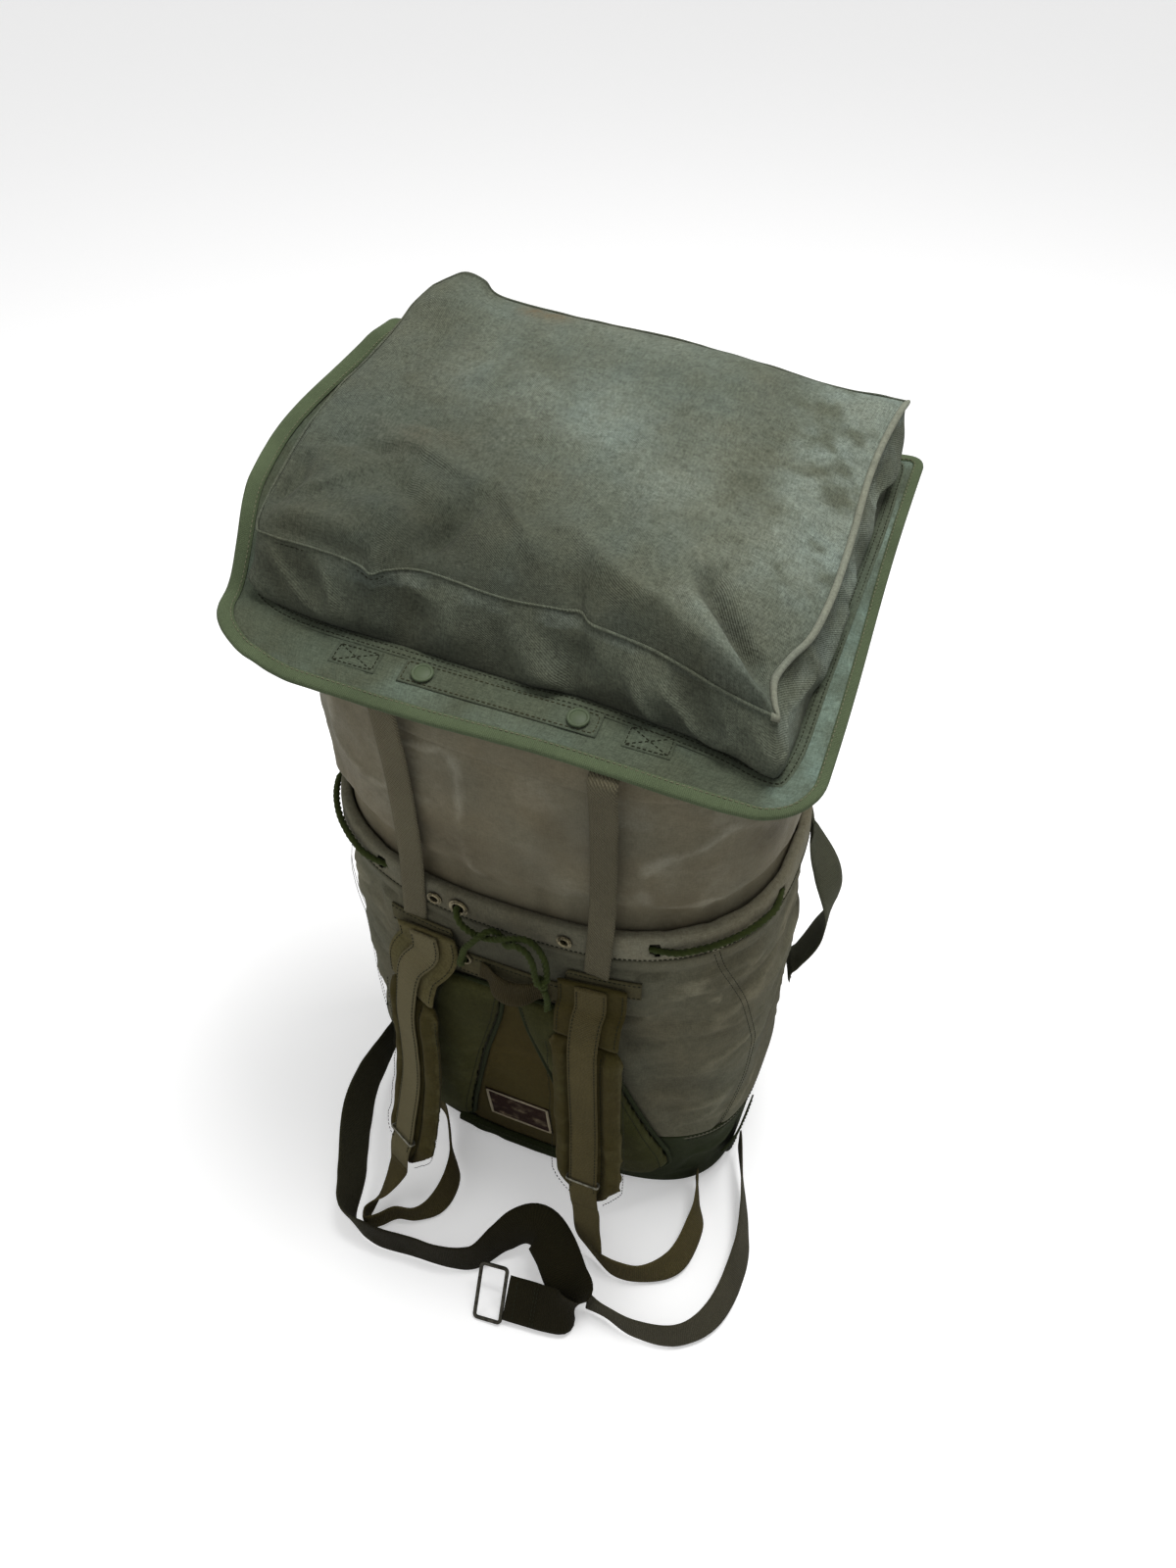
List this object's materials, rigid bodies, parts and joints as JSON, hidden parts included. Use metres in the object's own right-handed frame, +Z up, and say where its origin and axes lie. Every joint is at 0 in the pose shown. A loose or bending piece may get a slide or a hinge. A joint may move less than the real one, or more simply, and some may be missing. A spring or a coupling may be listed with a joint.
{
  "type": "mountain rucksack",
  "caption": "Upright canvas rucksack with a zipped lid pocket on webbing straps, a drawcord collar, padded back wings, quilted shoulder straps, a grab handle and a buckled waist belt.",
  "frame": {"origin": "centre of the base, on the surface the bag stands on", "axes": "+Z up, the harness faces -Y, the bag's left in that view is -X"},
  "size_m": [0.4369, 0.4811, 0.6882],
  "materials": {
    "canvas_olive": "heavy olive-brown canvas, waxed and creased",
    "canvas_coated": "smooth coated cloth, slightly sheened",
    "canvas_lid": "grey-green canvas, faded on the crown",
    "canvas_boot": "dark green coated canvas",
    "webbing_olive": "olive cotton webbing, worn",
    "webbing_green": "green edge binding, woven",
    "cord_moss": "moss-green twisted cord",
    "steel_dull": "dull nickel-plated steel",
    "cap_green": "green painted snap cap",
    "label_brown": "bare dark brown patch with a pale edge",
    "foam": "closed-cell foam",
    "zip_dark": "dark zip coil"
  },
  "bodies": {
    "bag": {"base_panel": "canvas_boot", "base_boot": "canvas_boot", "lower_bag": "canvas_olive", "hem_tunnel": "canvas_olive", "extension_collar": "canvas_coated", "collar_hem": "canvas_coated", "small_eyelets": "steel_dull", "cord_grommet": "steel_dull", "yoke_eyelet": "steel_dull", "drawcord": "cord_moss", "drawcord_ends": "cord_moss", "cord_knot": "cord_moss", "back_panel": "canvas_olive", "label_patch": "label_brown", "bottom_binding": "canvas_boot", "yoke_band": "webbing_olive", "wing_cover_left": "canvas_boot", "wing_cover_right": "canvas_boot", "wing_foam_left": "foam", "wing_foam_right": "foam", "side_loop_left": "webbing_olive", "side_loop_right": "webbing_olive", "lid_strap_left": "webbing_olive", "lid_strap_right": "webbing_olive", "lower_webbing_left": "webbing_olive", "lower_webbing_right": "webbing_olive", "belt_anchors": "canvas_boot", "buckle_tabs": "webbing_olive"},
    "lid": {"lid_panel": "canvas_lid", "lid_binding": "webbing_green", "lid_pocket": "canvas_lid", "lid_anchor_patches": "canvas_lid", "lid_web_ends": "webbing_olive", "snap_strip": "canvas_lid", "snap_caps": "cap_green", "snap_sockets": "steel_dull", "tail_anchors": "webbing_olive", "zip_tape": "canvas_boot", "zip_coil": "zip_dark"},
    "zip_slider": {"zip_slider": "steel_dull"},
    "zip_pull": {"zip_pull": "steel_dull"},
    "shoulder_strap_left": {"strap_top_left": "webbing_olive", "pad_cover_left": "webbing_olive", "pad_foam_left": "foam", "strap_webbing_left": "webbing_olive"},
    "shoulder_strap_right": {"strap_top_right": "webbing_olive", "pad_cover_right": "webbing_olive", "pad_foam_right": "foam", "strap_webbing_right": "webbing_olive"},
    "keeper_left": {"wire_keeper_left": "steel_dull"},
    "keeper_right": {"wire_keeper_right": "steel_dull"},
    "grab_handle": {"grab_handle": "webbing_olive"},
    "belt_left": {"belt_buckle_half": "webbing_olive"},
    "belt_right": {"belt_tail_half": "webbing_olive"},
    "belt_frame": {"belt_frame": "steel_dull"},
    "closing_tail_left": {"closing_tail_left": "webbing_olive"},
    "closing_tail_right": {"closing_tail_right": "webbing_olive"},
    "closing_buckle_left": {"closing_buckle_left": "steel_dull"},
    "closing_buckle_right": {"closing_buckle_right": "steel_dull"}
  },
  "joints": [
    {"name": "lid_hinge", "type": "hinge", "parent": "bag", "child": "lid", "pos_m": [-0.00008, -0.13942, 0.56502], "axis": [0.9957, 0.0539, -0.075], "range_deg": [0, 130]},
    {"name": "zip_slide", "type": "slide", "parent": "lid", "child": "zip_slider", "axis": [-0.0398, 0.9832, 0.1783], "range_m": [0, 0.184]},
    {"name": "zip_pull_swing", "type": "hinge", "parent": "zip_slider", "child": "zip_pull", "pos_m": [-0.18341, -0.05642, 0.6188], "axis": [-0.0398, 0.9832, 0.1783], "range_deg": [0, 85]},
    {"name": "shoulder_strap_left_swing", "type": "hinge", "parent": "bag", "child": "shoulder_strap_left", "pos_m": [-0.0695, -0.13129, 0.335], "axis": [-1, 0, 0], "range_deg": [0, 35]},
    {"name": "shoulder_strap_right_swing", "type": "hinge", "parent": "bag", "child": "shoulder_strap_right", "pos_m": [0.0695, -0.13129, 0.335], "axis": [-1, 0, 0], "range_deg": [0, 35]},
    {"name": "keeper_left_slide", "type": "slide", "parent": "shoulder_strap_left", "child": "keeper_left", "axis": [0.103, 0.2403, 0.9652], "range_m": [0, 0.025]},
    {"name": "keeper_right_slide", "type": "slide", "parent": "shoulder_strap_right", "child": "keeper_right", "axis": [-0.0379, 0.1708, 0.9846], "range_m": [0, 0.025]},
    {"name": "grab_handle_swing", "type": "hinge", "parent": "bag", "child": "grab_handle", "pos_m": [0.004, -0.13211, 0.3198], "axis": [-1, 0, 0], "range_deg": [0, 80]},
    {"name": "belt_buckle_half_swing", "type": "hinge", "parent": "bag", "child": "belt_left", "pos_m": [-0.17692, -0.03415, 0.024], "axis": [0, 0, -1], "range_deg": [0, 40]},
    {"name": "belt_tail_half_swing", "type": "hinge", "parent": "bag", "child": "belt_right", "pos_m": [0.17692, -0.03415, 0.024], "axis": [0, 0, 1], "range_deg": [0, 25]},
    {"name": "belt_frame_swing", "type": "hinge", "parent": "belt_left", "child": "belt_frame", "pos_m": [0.0333, -0.2517, 0.017], "axis": [0.1219, -0.6895, -0.714], "range_deg": [0, 60]},
    {"name": "closing_tail_left_swing", "type": "hinge", "parent": "lid", "child": "closing_tail_left", "pos_m": [-0.09812, 0.18205, 0.62799], "axis": [1, 0, 0], "range_deg": [0, 60]},
    {"name": "closing_tail_right_swing", "type": "hinge", "parent": "lid", "child": "closing_tail_right", "pos_m": [0.07116, 0.19122, 0.61525], "axis": [1, 0, 0], "range_deg": [0, 60]},
    {"name": "closing_buckle_left_swing", "type": "hinge", "parent": "bag", "child": "closing_buckle_left", "pos_m": [-0.085, 0.12945, 0.332], "axis": [1, 0, 0], "range_deg": [0, 140]},
    {"name": "closing_buckle_right_swing", "type": "hinge", "parent": "bag", "child": "closing_buckle_right", "pos_m": [0.085, 0.12945, 0.332], "axis": [1, 0, 0], "range_deg": [0, 140]}
  ]
}
